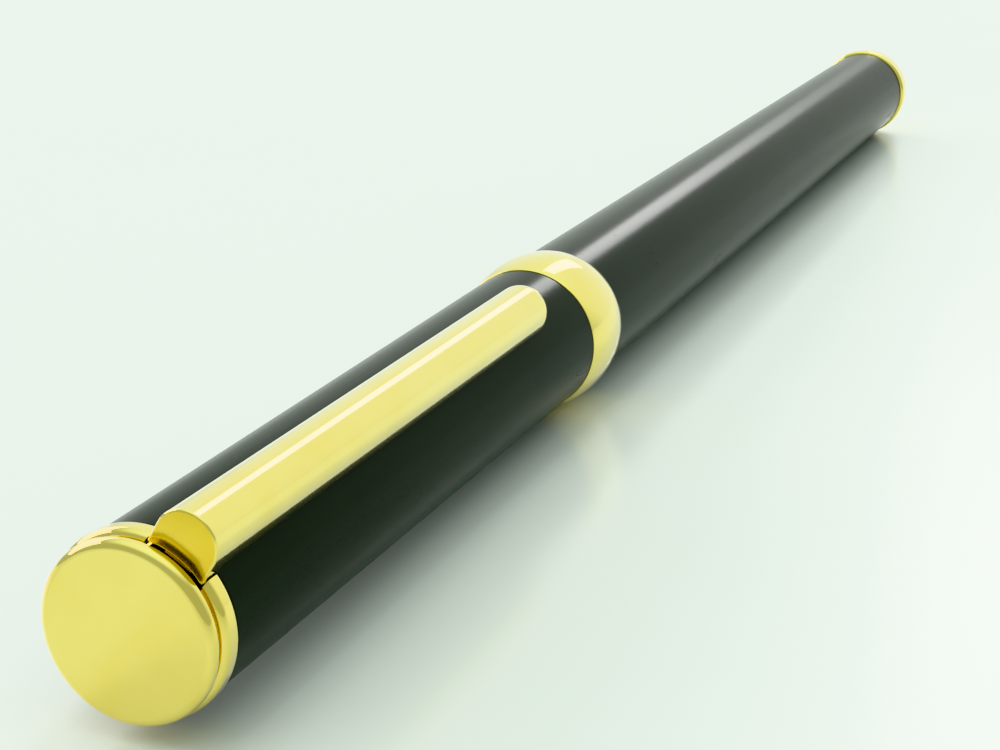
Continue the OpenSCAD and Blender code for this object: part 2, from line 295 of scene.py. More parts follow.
class Finish:
    """One material, or the world, and the nodes that make it."""

    def __init__(self, owner):
        owner.use_nodes = True
        self.owner = owner
        self.tree = owner.node_tree
        self.tree.nodes.clear()
        places = self.node("ShaderNodeTexCoord", {}, {})
        self.place = places["Object"]
        self.direction = places["Generated"]
        self.facing = places["Normal"]

    def node(self, kind, settings, inputs):
        """Adds a node and returns its outputs by name."""
        made = self.tree.nodes.new(kind)
        for key, value in settings.items():
            setattr(made, key, value)
        for key, value in inputs.items():
            if isinstance(value, Amount):
                self.tree.links.new(value.socket, made.inputs[key])
            else:
                made.inputs[key].default_value = value
        return {socket.name: Amount(self, socket) for socket in made.outputs if socket.enabled}

    def noise(self, scale, detail=2.0, rough=0.5, stretch=(1, 1, 1), place=None):
        """Soft noise, with scale in features to a metre."""
        mapped = self.node("ShaderNodeMapping", {}, {"Vector": place or self.place,
                                                     "Scale": stretch})["Vector"]
        return self.node("ShaderNodeTexNoise", {}, {"Vector": mapped, "Scale": scale,
                                                    "Detail": detail, "Roughness": rough})["Fac"]

    def around(self):
        """Length along the pen and distance from its axis, as separate amounts."""
        parts = self.node("ShaderNodeSeparateXYZ", {}, {"Vector": self.place})
        radius = (parts["Y"] * parts["Y"] + parts["Z"] * parts["Z"]).maths("SQRT")
        return parts["X"], radius

    def vector(self, x, y, z):
        return self.node("ShaderNodeCombineXYZ", {}, {"X": x, "Y": y, "Z": z})["Vector"]

    def scratches(self, per_metre, width, tilt=0.35):
        """Hairlines left by cloth and pockets: thin bands of stretched noise."""
        fine = self.noise(per_metre, 0.0, 0.4, stretch=(0.04, 1, tilt))
        away = (fine - 0.5).maths("ABSOLUTE")
        worn = self.noise(140, 2.0, 0.5).smooth(0.5, 0.7)
        return (1 - away.smooth(0.0, width)) * worn

    def mix(self, amount, one, two):
        """Blends two colours."""
        return self.node("ShaderNodeMix", {"data_type": "RGBA"},
                         {0: amount, 6: one, 7: two})["Result"]

    def bump(self, height, distance, strength=1.0, after=None):
        """Turns a height into a surface normal. distance is the real height in metres."""
        inputs = {"Height": height, "Distance": distance, "Strength": strength}
        if after:
            inputs["Normal"] = after
        return self.node("ShaderNodeBump", {}, inputs)["Normal"]

    def surface(self, **sockets):
        """Connects the Principled shader and returns the material."""
        inputs = {name.replace("_", " "): value for name, value in sockets.items()}
        shader = self.node("ShaderNodeBsdfPrincipled", {}, inputs)["BSDF"]
        self.node("ShaderNodeOutputMaterial", {}, {"Surface": shader})
        return self.owner


# %% [markdown]
# ## Gold plate
# The crown, clip, bands, nose and tail are brass, polished and plated with a pale, slightly
# green gold. Polished plate mirrors the room, so most of its look is what stands around it.
# What tells it from a perfect mirror is a little uneven polish, faint lathe marks round
# the axis and the hairlines of daily use, and those go in roughness and a very shallow bump.
# The clip's sawn end face is tinted a deeper orange gold, a painted reflection of the gold disc
# that it faces, and is made rougher. A mask finds it as the surface that faces the front of the pen.

# %% Gold finish
def gold_finish(name, tint, deep, end_reflection_tint=None):
    finish = Finish(bpy.data.materials.new(name))
    along, radius = finish.around()
    tone = finish.noise(160, 3.0, 0.55)
    hairs = finish.scratches(2600, 0.010)
    lathe = finish.noise(9000, 2.0, 0.5, place=finish.vector(along, radius, 0.0))
    smudge = finish.noise(330, 4.0, 0.6).smooth(0.45, 0.72)
    colour = finish.mix(tone.smooth(0.35, 0.7), tint, deep)
    rough = 0.06 + smudge * 0.04 + hairs * 0.05
    # Painted reflection: the face toward the pen's front is tinted a deeper orange gold for the gold disc mirrored
    # in it, and made rougher.
    if end_reflection_tint:
        front = finish.node("ShaderNodeSeparateXYZ", {}, {"Vector": finish.facing})["X"]
        end_face_mask = (front * -1).smooth(0.90, 0.99)
        colour = finish.mix(end_face_mask, colour, end_reflection_tint)
        rough = rough + end_face_mask * 0.16
    ripple = finish.bump(lathe, 0.0000012)
    return finish.surface(
        Base_Color=colour,
        Metallic=1.0,
        Roughness=rough,
        Coat_Weight=1.0 - smudge * 0.25,
        Coat_Roughness=0.05,
        Normal=finish.bump(hairs, 0.0000003, after=ripple),
    )


gold = gold_finish("gold_plate", (0.900, 0.752, 0.200, 1), (0.870, 0.710, 0.165, 1))
# The clip's plate carries a painted reflection: its front end face is a deeper orange gold, standing for the gold
# disc that it faces.
clip_gold = gold_finish("clip_gold_plate", (0.900, 0.752, 0.200, 1), (0.870, 0.710, 0.165, 1),
                        (0.830, 0.600, 0.045, 1))
print("Gold plate has", len(gold.node_tree.nodes), "nodes")

# %% [markdown]
# ## Black lacquer
# The cap, barrel and grip carry many coats of black lacquer, rubbed down and polished. It is
# a deep green-black under a clear hard gloss. The clear layer is the shader's coat; a wide
# shallow ripple, the orange peel of every sprayed coat, bends the reflections a little, and
# cloth hairlines and a few specks of dust break the gloss.

# %% Lacquer finish
def lacquer_finish(name):
    finish = Finish(bpy.data.materials.new(name))
    peel = finish.noise(420, 1.0, 0.4)
    hairs = finish.scratches(2200, 0.008)
    dust = finish.node("ShaderNodeTexVoronoi", {"feature": "F1"},
                       {"Vector": finish.place, "Scale": 520.0, "Randomness": 1.0})["Distance"]
    speck = (1 - dust.smooth(0.02, 0.045)) * (finish.noise(90, 1.0) > 0.60)
    depth = finish.noise(60, 3.0, 0.6).smooth(0.3, 0.7)
    black = finish.mix(depth, (0.0120, 0.0165, 0.0095, 1), (0.0150, 0.0205, 0.0125, 1))
    colour = finish.mix(speck * 0.5, black, (0.20, 0.20, 0.18, 1))
    return finish.surface(
        Base_Color=colour,
        Roughness=0.24 + hairs * 0.1 + speck * 0.3,
        Specular_IOR_Level=0.05,
        Coat_Weight=0.20 - hairs * 0.06,
        Coat_Roughness=0.19,
        Coat_IOR=1.45,
        Normal=finish.bump(peel, 0.0000010),
    )


lacquer = lacquer_finish("black_lacquer")
print("Black lacquer has", len(lacquer.node_tree.nodes), "nodes")

# %% [markdown]
# ## Plain metals
# Inside the pen the parts are turned brass, spring steel, the refill's drawn steel and a
# ground carbide ball. They differ in colour and in how coarse the tool marks are, so one
# function makes them all: fine rings round the axis from the lathe or the drawing die, a
# patchy tarnish, and a duller surface where the tarnish lies.

# %% Turned and drawn metal
def turned_finish(name, bright, tarnished, rough, marks, depth):
    finish = Finish(bpy.data.materials.new(name))
    along, radius = finish.around()
    rings = finish.noise(marks, 3.0, 0.6, place=finish.vector(along, radius, 0.0))
    patches = finish.noise(260, 4.0, 0.6).smooth(0.42, 0.70)
    return finish.surface(
        Base_Color=finish.mix(patches, bright, tarnished),
        Metallic=1.0,
        Roughness=rough + rings * 0.10 + patches * 0.10,
        Normal=finish.bump(rings, depth),
    )


brass = turned_finish("bare_brass", (0.72, 0.50, 0.19, 1), (0.55, 0.36, 0.14, 1),
                      rough=0.16, marks=6000, depth=4e-6)
steel = turned_finish("spring_steel", (0.56, 0.57, 0.59, 1), (0.40, 0.40, 0.41, 1),
                      rough=0.18, marks=9000, depth=3e-6)
refill_steel = turned_finish("refill_metal", (0.62, 0.63, 0.65, 1), (0.50, 0.50, 0.51, 1),
                             rough=0.24, marks=3500, depth=5e-6)
carbide = turned_finish("carbide", (0.45, 0.45, 0.47, 1), (0.36, 0.36, 0.37, 1),
                        rough=0.08, marks=20000, depth=1e-7)
print("Four plain metals made")

# %% [markdown]
# ## Plastic, rubber and ink
# The liner and the refill's plugs are natural moulded plastic, a little translucent, with the
# faint flow marks of the mould. The seal and the o-ring are matt black rubber with a dusty
# bloom. The ink sits in a bundle of fibres, so that finish is streaked along the pen.

# %% Soft and moulded finishes
def moulded_finish(name):
    finish = Finish(bpy.data.materials.new(name))
    flow = finish.noise(150, 3.0, 0.6, stretch=(0.25, 1, 1)).smooth(0.3, 0.75)
    grain = finish.noise(5200, 2.0, 0.6)
    return finish.surface(
        Base_Color=finish.mix(flow, (0.70, 0.69, 0.62, 1), (0.61, 0.60, 0.53, 1)),
        Roughness=0.36 + grain * 0.14,
        Subsurface_Weight=0.25,
        Subsurface_Scale=0.0006,
        Normal=finish.bump(grain, 4e-6),
    )


def rubber_finish(name):
    finish = Finish(bpy.data.materials.new(name))
    bloom = finish.noise(380, 4.0, 0.65).smooth(0.45, 0.8)
    grain = finish.noise(7000, 3.0, 0.6)
    return finish.surface(
        Base_Color=finish.mix(bloom, (0.014, 0.014, 0.014, 1), (0.050, 0.049, 0.046, 1)),
        Roughness=0.62 + bloom * 0.2,
        Normal=finish.bump(grain, 8e-6),
    )


def fibre_finish(name):
    finish = Finish(bpy.data.materials.new(name))
    strands = finish.noise(6000, 2.0, 0.5, stretch=(0.03, 1, 1))
    wet = finish.noise(120, 3.0, 0.5).smooth(0.4, 0.65)
    blue = finish.mix(strands.smooth(0.3, 0.7), (0.006, 0.010, 0.055, 1), (0.022, 0.034, 0.150, 1))
    return finish.surface(
        Base_Color=finish.mix(wet * 0.6, blue, (0.004, 0.006, 0.030, 1)),
        Roughness=0.75 - wet * 0.45,
        Normal=finish.bump(strands, 2e-5),
    )


plastic = moulded_finish("inner_plastic")
rubber = rubber_finish("grip_rubber")
ink = fibre_finish("ink_fibre")
print("Plastic, rubber and ink made")

# %% [markdown]
# ## The cap's gold disc
# The flat top of the cap is a thin disc with a softly rounded rim, fixed by a short stem. Its
# face is nearly a mirror, so the rim's radius matters: it is the bright line round the disc.

# %% Cap disc
disc_end, crown_end, flange_r = span("crown_ring")
stem_r = 1.5
stem_end = span("cap_top_disc")[1]
disc_r = span("cap_top_disc")[2]
disc = spun("pen_cap_disc", [
    (0, 0, 0), (0, disc_r, 0.45), (disc_end, disc_r, 0.05),
    (disc_end, stem_r, 0.05), (stem_end, stem_r, 0.1), (stem_end, 0, 0)])
fit(disc, "cap_top_disc", gold)

# %% [markdown]
# ## The crown
# Behind the disc comes a narrow groove and then a rounded flange. The crown carries on inside
# the cap as a plug. The clip's root drops through a slot cut in it, and the front of the clip
# sits in a shallow notch. The slot and notch are milled on the real crown, so here they are
# cut with a Boolean from the spun shape.

# %% Crown with its slot and notch
clip_axis = joint_of["clip_open"]["axis"]
clip_roll = math.atan2(-clip_axis[2], -clip_axis[1])
clip_place = Matrix.Rotation(clip_roll, 4, "X")
groove_end, groove_r = 0.95, cap_r - 0.35
flange_end = cap_start
inner_r = 4.05
screw_r = 0.8
crown = spun("pen_crown", [
    (disc_end, stem_r, 0), (disc_end, groove_r, 0.04), (groove_end, groove_r, 0.08),
    (groove_end, flange_r, 0.42), (flange_end, flange_r, 0.42), (flange_end, inner_r, 0.04),
    (crown_end, inner_r, 0.12), (crown_end, screw_r, 0.05),
    (stem_end, screw_r, 0.05), (stem_end, stem_r, 0.1)])
half_clip = 1.6
carve(crown, block((0, -half_clip - 0.05, 3.8), (flange_end, half_clip + 0.05, 5.8), clip_place))
carve(crown, block((1.3, -0.8, 1.75), (5.1, 0.8, 5.8), clip_place))
fit(crown, "crown_ring", gold)

# %% [markdown]
# ## The clip's bar
# The clip is one bar with a half-round back, straight sides and a flat underside, ending in a
# ball-shaped nose. It could be a subdivided box, but its back has to stay exactly half round
# all along, so it is lofted: a row of cross-sections along the pen, each the same ring of
# points. The first few sections shrink a little to bevel the front face, and the last ones
# close round the nose.

# %% Clip cross-sections
clip_start, clip_end, _ = span("clip")
clip_top = 6.98
clip_fall = 0.4
nose_x = clip_end - half_clip
under = 4.66
hollow_r = 4.41
ARCH = 40


def underside(x, y):
    """Height of the clip's underside: hollow over the crown, flat along the cap."""
    return math.sqrt(hollow_r ** 2 - y ** 2) if x < cap_start - 0.05 else under


def clip_section(x, inset=0.0, over_crown=False, rake=0.0):
    """One ring across the clip, pulled in all round by inset and raked back below."""
    lean = clip_fall * (x - clip_start) / (clip_end - clip_start)
    past = max(0.0, x - nose_x) / half_clip
    half = half_clip * math.sqrt(max(0.0, 1 - past ** 2)) - inset
    middle = clip_top - lean - half_clip
    arch = [math.pi * k / ARCH for k in range(ARCH + 1)]
    ring = [Vector((x, half * math.cos(a), middle + half * math.sin(a))) for a in arch]
    bevel = min(0.12, half / 3)
    x_floor = 0.0 if over_crown else cap_start
    low_edge = underside(x_floor, half) + inset
    for turn in (0.0, 0.25, 0.5, 0.75, 1.0):
        a = turn * math.pi / 2
        ring.append(Vector((x, -half + bevel * (1 - math.cos(a)), low_edge + bevel * (1 - math.sin(a)))))
    for k in range(1, 8):
        y = (-1 + k / 4) * (half - bevel)
        ring.append(Vector((x, y, underside(x_floor, y) + inset)))
    for turn in (1.0, 0.75, 0.5, 0.25, 0.0):
        a = turn * math.pi / 2
        ring.append(Vector((x, half - bevel * (1 - math.cos(a)), low_edge + bevel * (1 - math.sin(a)))))
    for point in ring:
        point.x += rake * (clip_top - point.z)
    return [clip_place @ point for point in ring]


root_end = 2.2
front_rake = 0.06
bevel_steps = [(0.0, 0.12), (0.025, 0.055), (0.06, 0.018), (0.12, 0.0), (0.16, 0.0)]
sections = [clip_section(clip_start + x, inset, True, front_rake) for x, inset in bevel_steps]
sections += [clip_section(x, 0.0, True) for x in (1.8, 2.0, root_end)]
sections += [clip_section(x) for x in (root_end + 0.001, 2.6, 4, 8, 14, 20, 26, 32, 37, nose_x - 0.05)]
sections += [clip_section(nose_x + half_clip * math.sin(math.pi / 2 * k / 18)) for k in range(19)]
clip = loft("pen_clip", sections, ends="filled")
print("The clip's bar has", len(sections), "sections and falls", clip_fall, "mm")

# %% [markdown]
# ## The clip's root
# Under the front of the bar a leg drops into the crown's slot and turns back as a short arm,
# which ends in the eye that the hinge pin runs through. A small pad under the nose presses
# cloth against the cap. Each is a simple form, joined onto the bar with a Boolean.

# %% Leg, arm, eye and pad
pin_x, pin_h = 4.0, 3.05


def across(name, x, h, corners, sides=64):
    """A turned piece laid across the pen, on the clip's hinge line."""
    piece = spun(name, corners, sides)
    lay = Matrix.Translation((x * MM, 0, h * MM)) @ Matrix.Rotation(math.pi / 2, 4, "Z")
    piece.data.transform(clip_place @ lay)
    return piece


def plug(a, b, r, edge=0.0):
    """Outline of a plain solid rod from a to b with softened ends."""
    return [(a, 0, 0), (a, r, edge), (b, r, edge), (b, 0, 0)]


carve(clip, block((1.46, -0.75, 2.85), (root_end, 0.75, 5.2), clip_place), "UNION")
carve(clip, block((1.5, -0.7499, 2.8501), (pin_x, 0.7499, 3.7), clip_place), "UNION")
carve(clip, across("eye", pin_x, pin_h, plug(-0.7498, 0.7498, 0.85, 0.05)), "UNION")
carve(clip, across("eye_hole", pin_x, pin_h, plug(-1.2, 1.2, 0.53)))
pad = spun("pad", [(4.54, 0, 0), (4.54, 0.75, 0.3), (4.8, 1.0, 0.02), (4.9, 1.0, 0), (4.9, 0, 0)], 64)
upright = Matrix.Rotation(-math.pi / 2, 4, "Y")
pad.data.transform(clip_place @ Matrix.Translation((nose_x * MM, 0, 0)) @ upright)
carve(clip, pad, "UNION")
fit(clip, "clip", clip_gold)
pin = across("pen_clip_pin", pin_x, pin_h, plug(-1.9, 1.9, 0.5, 0.08), 48)
fit(pin, "clip_pin", steel)

# %% [markdown]
# ## Coil springs
# A coil spring is a wire wound on a helix, with its first and last turns closed up so that it
# stands square. A curve with a bevel would give the wire, but its ends would be open. Here a
# ring of points is carried along the helix and lofted, so the wire is one closed solid.

# %% Wind the two springs
def coil(name, r, wire, start, end, turns, per_turn=48, sides=14):
    """Round wire wound about X between two planes, with closed end turns."""
    length = end - start - 2 * wire
    closed = 2 * wire
    pitch = (length - 2 * closed) / (turns - 2)
    rings = []
    for k in range(turns * per_turn + 1):
        t = k / per_turn
        rise = closed * (min(t, 1) + max(t - turns + 1, 0)) + pitch * min(max(t - 1, 0), turns - 2)
        a = 2 * math.pi * t
        ring = []
        for j in range(sides):
            b = 2 * math.pi * j / sides
            q = r + wire * math.cos(b)
            ring.append((start + wire + rise + wire * math.sin(b), q * math.cos(a), q * math.sin(a)))
        rings.append(ring)
    return loft(name, rings, ends="filled")


tube_end = span("refill_tube")[1]
spring_end = span("refill_spring")[1]
long_coil = coil("pen_refill_spring", 2.25, 0.219, tube_end, spring_end, 6)
fit(long_coil, "refill_spring", steel)
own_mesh(long_coil)

foot, head = 1.75, 2.85
short_coil = coil("pen_clip_spring", 0.27, 0.079, foot, head, 4, 32, 10)
spring_x = 1.83
short_coil.data.transform(clip_place @ Matrix.Translation((spring_x * MM, 0, 0)) @ upright)
fit(short_coil, "clip_spring", steel)
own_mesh(short_coil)

# %% [markdown]
# ## Cap tube and centre band
# The cap's tube is a plain lacquered cylinder. At its mouth is the centre band, a gold ring
# whose outside bulges like a barrel hoop, with a thinner collar that is pressed inside the
# tube. The bulge is an arc through the ring's two edges and its crest.

# %% Cap tube and band
tube = spun("pen_cap_tube", [
    (cap_start, inner_r, 0.03), (cap_start, cap_r, 0.06),
    (cap_end, cap_r, 0.06), (cap_end, inner_r, 0.03)])
fit(tube, "cap_tube", lacquer)

edge_r, mouth_r = cap_r + 0.05, 3.68
half_band = (band_end - cap_end) / 2
bulge = band_r - edge_r
bow_r = (half_band ** 2 + bulge ** 2) / (2 * bulge)
hoop = []
for k in range(1, 24):
    x = cap_end + 2 * half_band * k / 24
    off = x - cap_end - half_band
    hoop.append((x, band_r - bow_r + math.sqrt(bow_r ** 2 - off ** 2), 0))
band = spun("pen_centre_band", [
    (band_start, mouth_r, 0.04), (band_start, inner_r, 0.06), (cap_end, inner_r, 0),
    (cap_end, edge_r, 0.05), *hoop, (band_end, edge_r, 0.08), (band_end, mouth_r, 0.06)])
fit(band, "centre_band", gold)
print(f"The band bulges {bulge:.2f} mm over {2 * half_band:.1f} mm")

# %% [markdown]
# ## Inside the cap
# A moulded liner fills the tube. It carries a split spring ring, the clutch, which snaps over
# the section and holds the cap on. At its closed end a screw and washer hold the liner to
# the crown, and a rubber seal keeps the ink from drying.

# %% Liner, clutch, screw, washer and seal
liner_start, liner_end, liner_r = span("cap_liner")
clutch_start, clutch_end = span("cap_clutch")[:2]
floor_x, washer_end = span("cap_washer")[:2]
liner_bore = 3.62
clutch_seat_r = 3.87
liner = spun("pen_cap_liner", [
    (liner_start, screw_r, 0.05), (liner_start, liner_r, 0.2), (liner_end, liner_r, 0.1),
    (liner_end, liner_bore, 0.15), (clutch_end + 0.05, liner_bore, 0.03),
    (clutch_end + 0.05, clutch_seat_r, 0.03), (clutch_start - 0.05, clutch_seat_r, 0.03),
    (clutch_start - 0.05, liner_bore, 0.03), (floor_x, liner_bore, 0.4), (floor_x, screw_r, 0.05)])
fit(liner, "cap_liner", plastic)

clutch_out_r, clutch_in_r = 3.84, 3.56
ring_outline = rounded([
    (clutch_start, liner_bore, 0.06), (clutch_start, clutch_out_r, 0.05),
    (clutch_end, clutch_out_r, 0.05), (clutch_end, liner_bore, 0.06),
    (clutch_end - 0.3, clutch_in_r, 0.25), (clutch_start + 0.3, clutch_in_r, 0.25)])
half_gap = 0.62
gap = math.asin(half_gap / clutch_in_r)
steps = 120
rings = []
for k in range(steps + 1):
    a = gap + (2 * math.pi - 2 * gap) * k / steps
    rings.append([(p.x, p.y * math.sin(a), p.y * math.cos(a)) for p in ring_outline])
fit(loft("pen_cap_clutch", rings, ends="filled"), "cap_clutch", steel)

washer_r = 1.45
washer = spun("pen_cap_washer", [
    (floor_x, screw_r, 0.03), (floor_x, washer_r, 0.06), (washer_end, washer_r, 0.06),
    (washer_end, screw_r, 0.03)], 72)
fit(washer, "cap_washer", steel)

seal_end = span("cap_seal")[1]
seal = spun("pen_cap_seal", [
    (9.75, 0, 0), (9.75, 1.5, 0.12), (floor_x, 1.5, 0.12), (floor_x, 2.6, 0.2),
    (seal_end, 2.6, 0.25), (seal_end, 1.45, 0.25), (10.25, 1.45, 0.2), (10.25, 0, 0)], 96)
fit(seal, "cap_seal", rubber)

# %% [markdown]
# ## Screw threads
# A thread is a groove that climbs round the pen. Modelling it as a profile swept on a helix
# leaves awkward ends. It is easier to keep the spun outline and let the radius dip where the
# groove passes: at a given angle the groove comes round once every pitch. The dip fades
# in and out over one turn, as a cut thread does.

# %% Threads on the cap screw, the section's sleeve and the barrel's bush
def thread(start, end, crest, depth, pitch):
    """A relief that cuts a screw thread into the surface at radius crest."""
    def relief(x, r, a):
        if abs(r - crest) > 0.005 or not start < x < end:
            return r
        fade = min(1.0, (x - start) / pitch, (end - x) / pitch)
        wave = 0.5 - 0.5 * math.cos(2 * math.pi * x / pitch - a)
        return r - depth * fade * wave
    return relief


def along(start, end, r, count):
    """Evenly spaced corners with no fillet, for a thread to follow."""
    return [(start + (end - start) * k / count, r, 0) for k in range(count + 1)]


screw_start, screw_end, head_r = span("cap_screw")
screw = spun("pen_cap_screw", [
    (screw_start, 0, 0), (screw_start, 0.55, 0.05), *along(screw_start + 0.25, 8.8, screw_r, 80),
    (washer_end, screw_r, 0), (washer_end, head_r, 0.05), (screw_end, head_r, 0.2),
    (screw_end, 0, 0)], 64, thread(screw_start + 0.3, 8.6, screw_r, 0.1, 0.4))
carve(screw, block((screw_end - 0.25, -0.2, -2), (screw_end + 1, 0.2, 2)))
fit(screw, "cap_screw", steel)

sleeve_start, sleeve_end, sleeve_r = span("section_sleeve")
collar_start, collar_end, collar_r = span("section_collar")
tube_bore = 2.85
joint_r = 3.2
sleeve = spun("pen_section_sleeve", [
    (sleeve_start, tube_bore, 0.03), (sleeve_start, joint_r, 0.03), (collar_start, joint_r, 0),
    (collar_start, sleeve_r, 0.03), *along(collar_end + 0.1, sleeve_end - 0.15, sleeve_r, 90),
    (sleeve_end, sleeve_r - 0.1, 0.03), (sleeve_end, tube_bore, 0.05)],
    SIDES, thread(collar_end + 0.15, sleeve_end - 0.15, sleeve_r, 0.2, 1.0))
fit(sleeve, "section_sleeve", brass)

bush_start, bush_end, bush_r = span("barrel_bush")
bush_bore = sleeve_r + 0.03
bush = spun("pen_barrel_bush", [
    (bush_end, bush_bore, 0.1), (bush_end, bush_r, 0.08), (bush_start, bush_r, 0.05),
    (bush_start, bush_bore, 0.06), *along(bush_start + 0.15, bush_end - 0.2, bush_bore, 90)],
    SIDES, thread(bush_start + 0.2, bush_end - 0.3, bush_bore, -0.2, 1.0))
fit(bush, "barrel_bush", brass)
print(f"The section's thread is {sleeve_end - collar_end:.1f} mm long")

# %% [markdown]
# ## The writing section
# Behind the cap's mouth are the parts that the hand holds: a tapered grip in black lacquer, a
# gold nose, a gold collar where the grip meets the barrel, and an o-ring in a groove that
# steadies the cap. The nose has two fine turned lines before it meets the grip.

# %% Grip, nose, collar and o-ring
grip_start, grip_end, grip_r = span("section_grip")
nose_start, nose_end, nose_back_r = span("section_nose")
ring_x = sum(span("section_o_ring")[:2]) / 2
groove_floor = 3.18
half_groove = 0.23
taper_end = 38
nose_bore = 2.35
step_x = 26
grip = spun("pen_grip", [
    (grip_start, nose_bore, 0.02), (grip_start, nose_back_r, 0.08), (taper_end, grip_r, 3.0),
    (ring_x - half_groove, grip_r, 0.04), (ring_x - half_groove, groove_floor, 0.02),
    (ring_x + half_groove, groove_floor, 0.02), (ring_x + half_groove, grip_r, 0.04),
    (grip_end, grip_r, 0.06), (grip_end, joint_r, 0.02), (sleeve_start, joint_r, 0.02),
    (sleeve_start, tube_bore, 0.02), (step_x, tube_bore, 0.02), (step_x, nose_bore, 0.02)])
fit(grip, "section_grip", lacquer)


nose_front_r = 1.9


def taper(x):
    """Radius of the nose's cone at x."""
    share = (x - nose_start) / (grip_start - nose_start)
    return nose_front_r + (nose_back_r - nose_front_r) * share


lines = []
for x in (20.2, 20.9):
    lines += [(x, taper(x), 0.03), (x + 0.04, taper(x) - 0.1, 0.02),
              (x + 0.14, taper(x) - 0.09, 0.02), (x + 0.18, taper(x + 0.18), 0.03)]
nose = spun("pen_nose", [
    (nose_start, 1.25, 0.08), (nose_start, nose_front_r, 0.2), *lines,
    (grip_start, nose_back_r, 0.08), (grip_start, nose_bore, 0.02), (nose_end, nose_bore, 0.05),
    (nose_end, 1.8, 0.05),
    (15.5, 1.8, 0.05), (15.5, 1.25, 0.03)])
fit(nose, "section_nose", gold)

collar = spun("pen_section_collar", [
    (collar_start, sleeve_r + 0.03, 0.02), (collar_start, collar_r, 0.08),
    (51.5, collar_r, 0.03), (51.54, collar_r - 0.09, 0.02), (51.66, collar_r - 0.09, 0.02),
    (51.7, collar_r, 0.03), (collar_end, collar_r, 0.08), (collar_end, sleeve_r + 0.03, 0.02)])
fit(collar, "section_collar", gold)

cord_r = 0.199
ring_path = []
for k in range(24):
    a = 2 * math.pi * k / 24
    ring_path.append((ring_x + cord_r * math.cos(a), 3.38 + cord_r * math.sin(a), 0))
fit(spun("pen_o_ring", ring_path), "section_o_ring", rubber)

# %% [markdown]
# ## The barrel and its tail
# The barrel is one long lacquered tube that tapers towards a gold tail: a rounded ring that
# stands a little proud of the lacquer, and a flat end plug inside it.

# %% Barrel, tail ring, tail plug and spring seat
barrel_start, barrel_end, barrel_r = span("barrel_tube")
tail_r = 3.83
barrel = spun("pen_barrel", [
    (barrel_start, bush_r, 0.02), (barrel_start, barrel_r, 0.07), (barrel_end, tail_r, 0.05),
    (barrel_end, 3.38, 0.02), (bush_end, 3.8, 0.05), (bush_end, bush_r, 0.02)])
fit(barrel, "barrel_tube", lacquer)

ring_end, ring_r = span("tail_ring")[1:]
tail_ring = spun("pen_tail_ring", [
    (barrel_end, 1.6, 0.02), (barrel_end, ring_r, 0.3), (ring_end, ring_r, 0.3),
    (ring_end, 1.6, 0.02)])
fit(tail_ring, "tail_ring", gold)

stem_start, tail_end, plug_r = span("tail_plug")
tail_plug = spun("pen_tail_plug", [
    (stem_start, 0, 0), (stem_start, 1.6, 0.2), (ring_end, 1.6, 0.02), (ring_end, plug_r, 0.04),
    (tail_end, plug_r, 0.3), (tail_end, 0, 0)])
fit(tail_plug, "tail_plug", gold)

seat_start, seat_end, seat_r = span("spring_seat")
seat = spun("pen_spring_seat", [
    (seat_start, 0, 0), (seat_start, 1.7, 0.25), (127, 1.7, 0.15), (127, seat_r, 0.15),
    (seat_end, seat_r, 0.05), (seat_end, 1.6, 0.02), (stem_start, 1.6, 0.02), (stem_start, 0, 0)])
fit(seat, "spring_seat", plastic)

# %% [markdown]
# ## The refill
# A rollerball refill is a drawn steel tube with a moulded front cone, a brass tip that holds
# a tiny carbide ball, a thin feed that brings the ink, a fibre bundle that stores it, and a
# vented plug. The tube is crimped with two shallow rings that grip the cone and the plug.

# %% Refill tube, cone and tip
refill_start, refill_end, refill_r = span("refill_tube")
refill_bore = 2.55
crimps = []
for x in (27.8, refill_end - 2.0):
    crimps += [(x - 0.35, refill_r, 0.1), (x - 0.15, refill_r - 0.07, 0.1),
               (x + 0.15, refill_r - 0.07, 0.1), (x + 0.35, refill_r, 0.1)]
refill = spun("pen_refill_tube", [
    (refill_start, refill_bore, 0.02), (refill_start, refill_r, 0.05), *crimps,
    (refill_end, refill_r, 0.08), (refill_end, refill_bore, 0.03)])
fit(refill, "refill_tube", refill_steel)

cone_start, cone_end, _ = span("refill_cone")
tip_start, tip_end, tip_r = span("refill_tip")
feed_r = 0.25
cone = spun("pen_refill_cone", [
    (tip_end, feed_r, 0.02), (tip_end, tip_r, 0.02), (cone_start, tip_r, 0.05),
    (cone_start, 1.4, 0.08), (cone_start + 0.4, 1.75, 0.15), (step_x, 1.75, 0.05),
    (step_x, refill_r, 0.06), (refill_start, refill_r, 0.02), (refill_start, refill_bore, 0.02),
    (cone_end, refill_bore, 0.15), (cone_end, feed_r, 0.05)], 96)
fit(cone, "refill_cone", plastic)

ball_low, ball_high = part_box("refill_ball")
ball_x = (ball_low.x + ball_high.x) / 2 / MM
socket_r = (ball_high.x - ball_low.x) / 2 / MM + 0.015
socket = []
first = math.asin((tip_start - ball_x) / socket_r)
last = math.acos(feed_r / socket_r)
for k in range(17):
    a = first + (last - first) * k / 16
    socket.append((ball_x + socket_r * math.sin(a), socket_r * math.cos(a), 0))
tip = spun("pen_refill_tip", [
    *socket, (tip_end, feed_r, 0.02), (tip_end, tip_r, 0.08), (11.7, tip_r, 0.4),
    (tip_start, 0.42, 0.04)], 72)
fit(tip, "refill_tip", brass)

# %% [markdown]
# The ball itself is already a true sphere in the design, and it keeps that shape. It only
# needs its finish.

# %% Ball, feed, fibre and plug
ball = frame["nodes"]["refill_ball"]
for face_slot in ball.material_slots:
    face_slot.material = carbide
print("The ball is", round(2 * (socket_r - 0.015), 2), "mm across")

feed_start, feed_end, _ = span("refill_feed")
fit(spun("pen_refill_feed", plug(feed_start, feed_end, feed_r, 0.1), 32), "refill_feed", ink)

